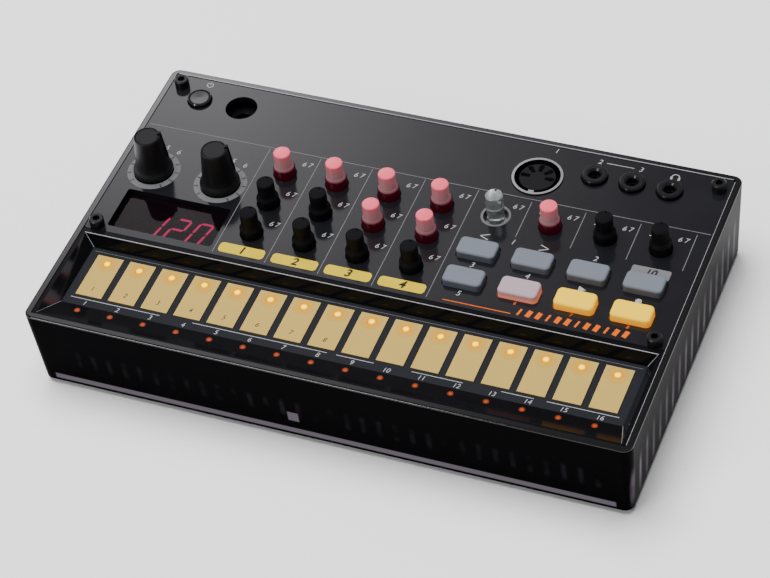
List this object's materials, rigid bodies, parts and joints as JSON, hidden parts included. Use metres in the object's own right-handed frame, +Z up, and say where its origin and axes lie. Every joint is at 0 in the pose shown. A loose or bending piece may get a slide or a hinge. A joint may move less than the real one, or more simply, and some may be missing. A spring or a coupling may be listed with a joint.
{
  "type": "drum machine",
  "caption": "Compact tabletop drum machine: small knobs and rubber keys on a black panel, touch pads in a sunken strip at the front, sockets at the back, battery bay below.",
  "frame": {"origin": "middle of the footprint, on the surface that the rubber feet stand on", "axes": "+X to the player's right, +Y to the back edge with the sockets, +Z up out of the panel"},
  "size_m": [0.193, 0.115, 0.046],
  "materials": {
    "case_plastic": "smoked black, polished",
    "cover_plastic": "black, fine texture",
    "panel_plastic": "black, satin gloss",
    "bezel_plastic": "black, polished",
    "touch_plate": "dark grey, printed",
    "touch_pads": "tan print",
    "amber_lamp": "amber lamp",
    "red_lamp": "orange-red lamp",
    "display_pane": "smoked",
    "digit_module": "black face with red segments",
    "board": "green resist",
    "black_part": "black",
    "pot_metal": "plated",
    "din_ring": "nickel plated",
    "jack_plastic": "black",
    "switch_metal": "plated",
    "black_screw": "black oxide",
    "spacer_brass": "plain",
    "speaker_frame": "black",
    "speaker_cone": "black paper",
    "speaker_magnet": "plain",
    "contact_metal": "plated",
    "batteries": "plain sleeve",
    "foot_rubber": "black",
    "power_button": "black",
    "dial_plastic": "black, satin",
    "shaft_metal": "plain",
    "lit_knob": "frosted, lit red from below",
    "clear_knob": "translucent grey",
    "dark_knob": "black, satin",
    "lit_key": "lit yellow from below",
    "peach_key": "lit peach from below",
    "grey_key": "grey"
  },
  "bodies": {
    "chassis": {"batteries": "batteries", "battery_contacts": "contact_metal", "board_connector": "black_part", "bottom_cover": "cover_plastic", "bottom_screws": "black_screw", "case_shell": "case_plastic", "digit_module": "digit_module", "din_insert": "black_part", "din_ring": "din_ring", "display_pane": "display_pane", "jack_board": "board", "key_switches": "switch_metal", "main_board": "board", "mini_jacks": "jack_plastic", "pad_lamps": "amber_lamp", "panel_screws": "black_screw", "pot_bodies": "pot_metal", "power_inlet": "black_part", "power_switch": "black_part", "rubber_feet": "foot_rubber", "speaker_cone": "speaker_cone", "speaker_frame": "speaker_frame", "speaker_magnet": "speaker_magnet", "step_lamps": "red_lamp", "threaded_spacers": "spacer_brass", "top_panel": "panel_plastic", "touch_bezel": "bezel_plastic", "touch_board": "board", "touch_pads": "touch_pads", "touch_plate": "touch_plate"},
    "kick_click": {"kick_click_knob": "lit_knob"},
    "kick_pitch": {"kick_pitch_knob": "dark_knob"},
    "kick_decay": {"kick_decay_knob": "dark_knob"},
    "snare_rattle": {"snare_rattle_knob": "lit_knob"},
    "snare_pitch": {"snare_pitch_knob": "dark_knob"},
    "snare_decay": {"snare_decay_knob": "dark_knob"},
    "low_tom_pitch": {"low_tom_pitch_knob": "lit_knob"},
    "high_tom_pitch": {"high_tom_pitch_knob": "lit_knob"},
    "tom_decay": {"tom_decay_knob": "dark_knob"},
    "closed_hat_decay": {"closed_hat_decay_knob": "lit_knob"},
    "open_hat_decay": {"open_hat_decay_knob": "lit_knob"},
    "hat_tone": {"hat_tone_knob": "dark_knob"},
    "sample_speed": {"sample_speed_knob": "clear_knob"},
    "tempo": {"tempo_knob": "lit_knob"},
    "part_level": {"part_level_knob": "dark_knob"},
    "volume": {"volume_knob": "dark_knob"},
    "repeat_time": {"repeat_time_knob": "dial_plastic", "repeat_time_shaft": "shaft_metal"},
    "repeat_depth": {"repeat_depth_knob": "dial_plastic", "repeat_depth_shaft": "shaft_metal"},
    "part_back_key": {"part_back_key": "grey_key"},
    "part_next_key": {"part_next_key": "grey_key"},
    "mute_key": {"mute_key": "grey_key"},
    "function_key": {"function_key": "grey_key"},
    "memory_key": {"memory_key": "grey_key"},
    "step_mode_key": {"step_mode_key": "peach_key"},
    "play_key": {"play_key": "lit_key"},
    "record_key": {"record_key": "lit_key"},
    "power_button": {"power_button": "power_button"},
    "battery_door": {"battery_door": "cover_plastic"}
  },
  "joints": [
    {"name": "kick_click_turn", "type": "hinge", "parent": "chassis", "child": "kick_click", "pos_m": [-0.04211, 0.0215, 0.0305], "axis": [0, 0, 1], "range_deg": [-140, 140]},
    {"name": "kick_pitch_turn", "type": "hinge", "parent": "chassis", "child": "kick_pitch", "pos_m": [-0.04211, 0.0079, 0.0305], "axis": [0, 0, 1], "range_deg": [-140, 140]},
    {"name": "kick_decay_turn", "type": "hinge", "parent": "chassis", "child": "kick_decay", "pos_m": [-0.04211, -0.0057, 0.0305], "axis": [0, 0, 1], "range_deg": [-140, 140]},
    {"name": "snare_rattle_turn", "type": "hinge", "parent": "chassis", "child": "snare_rattle", "pos_m": [-0.02454, 0.0215, 0.0305], "axis": [0, 0, 1], "range_deg": [-140, 140]},
    {"name": "snare_pitch_turn", "type": "hinge", "parent": "chassis", "child": "snare_pitch", "pos_m": [-0.02454, 0.0079, 0.0305], "axis": [0, 0, 1], "range_deg": [-140, 140]},
    {"name": "snare_decay_turn", "type": "hinge", "parent": "chassis", "child": "snare_decay", "pos_m": [-0.02454, -0.0057, 0.0305], "axis": [0, 0, 1], "range_deg": [-140, 140]},
    {"name": "low_tom_pitch_turn", "type": "hinge", "parent": "chassis", "child": "low_tom_pitch", "pos_m": [-0.00696, 0.0215, 0.0305], "axis": [0, 0, 1], "range_deg": [-140, 140]},
    {"name": "high_tom_pitch_turn", "type": "hinge", "parent": "chassis", "child": "high_tom_pitch", "pos_m": [-0.00696, 0.0079, 0.0305], "axis": [0, 0, 1], "range_deg": [-140, 140]},
    {"name": "tom_decay_turn", "type": "hinge", "parent": "chassis", "child": "tom_decay", "pos_m": [-0.00696, -0.0057, 0.0305], "axis": [0, 0, 1], "range_deg": [-140, 140]},
    {"name": "closed_hat_decay_turn", "type": "hinge", "parent": "chassis", "child": "closed_hat_decay", "pos_m": [0.01061, 0.0215, 0.0305], "axis": [0, 0, 1], "range_deg": [-140, 140]},
    {"name": "open_hat_decay_turn", "type": "hinge", "parent": "chassis", "child": "open_hat_decay", "pos_m": [0.01061, 0.0079, 0.0305], "axis": [0, 0, 1], "range_deg": [-140, 140]},
    {"name": "hat_tone_turn", "type": "hinge", "parent": "chassis", "child": "hat_tone", "pos_m": [0.01061, -0.0057, 0.0305], "axis": [0, 0, 1], "range_deg": [-140, 140]},
    {"name": "sample_speed_turn", "type": "hinge", "parent": "chassis", "child": "sample_speed", "pos_m": [0.02819, 0.0215, 0.0305], "axis": [0, 0, 1], "range_deg": [-140, 140]},
    {"name": "tempo_turn", "type": "hinge", "parent": "chassis", "child": "tempo", "pos_m": [0.04576, 0.0215, 0.0305], "axis": [0, 0, 1], "range_deg": [-140, 140]},
    {"name": "part_level_turn", "type": "hinge", "parent": "chassis", "child": "part_level", "pos_m": [0.06334, 0.0215, 0.0305], "axis": [0, 0, 1], "range_deg": [-140, 140]},
    {"name": "volume_turn", "type": "hinge", "parent": "chassis", "child": "volume", "pos_m": [0.08091, 0.0215, 0.0305], "axis": [0, 0, 1], "range_deg": [-140, 140]},
    {"name": "repeat_time_turn", "type": "hinge", "parent": "chassis", "child": "repeat_time", "pos_m": [-0.08325, 0.0116, 0.0305], "axis": [0, 0, 1], "range_deg": [-82, 198]},
    {"name": "repeat_depth_turn", "type": "hinge", "parent": "chassis", "child": "repeat_depth", "pos_m": [-0.0602, 0.0116, 0.0305], "axis": [0, 0, 1], "range_deg": [-82, 198]},
    {"name": "part_back_key_press", "type": "slide", "parent": "chassis", "child": "part_back_key", "axis": [0, 0, -1], "range_m": [0, 0.001], "stiffness_N_per_m": 300, "springref_m": -0.0005},
    {"name": "part_next_key_press", "type": "slide", "parent": "chassis", "child": "part_next_key", "axis": [0, 0, -1], "range_m": [0, 0.001], "stiffness_N_per_m": 300, "springref_m": -0.0005},
    {"name": "mute_key_press", "type": "slide", "parent": "chassis", "child": "mute_key", "axis": [0, 0, -1], "range_m": [0, 0.001], "stiffness_N_per_m": 300, "springref_m": -0.0005},
    {"name": "function_key_press", "type": "slide", "parent": "chassis", "child": "function_key", "axis": [0, 0, -1], "range_m": [0, 0.001], "stiffness_N_per_m": 300, "springref_m": -0.0005},
    {"name": "memory_key_press", "type": "slide", "parent": "chassis", "child": "memory_key", "axis": [0, 0, -1], "range_m": [0, 0.001], "stiffness_N_per_m": 300, "springref_m": -0.0005},
    {"name": "step_mode_key_press", "type": "slide", "parent": "chassis", "child": "step_mode_key", "axis": [0, 0, -1], "range_m": [0, 0.001], "stiffness_N_per_m": 300, "springref_m": -0.0005},
    {"name": "play_key_press", "type": "slide", "parent": "chassis", "child": "play_key", "axis": [0, 0, -1], "range_m": [0, 0.001], "stiffness_N_per_m": 300, "springref_m": -0.0005},
    {"name": "record_key_press", "type": "slide", "parent": "chassis", "child": "record_key", "axis": [0, 0, -1], "range_m": [0, 0.001], "stiffness_N_per_m": 300, "springref_m": -0.0005},
    {"name": "power_button_press", "type": "slide", "parent": "chassis", "child": "power_button", "axis": [0, 0, -1], "range_m": [0, 0.0015], "stiffness_N_per_m": 300, "springref_m": -0.0005},
    {"name": "battery_door_slide", "type": "slide", "parent": "chassis", "child": "battery_door", "axis": [0, -1, 0], "range_m": [0, 0.005]}
  ]
}
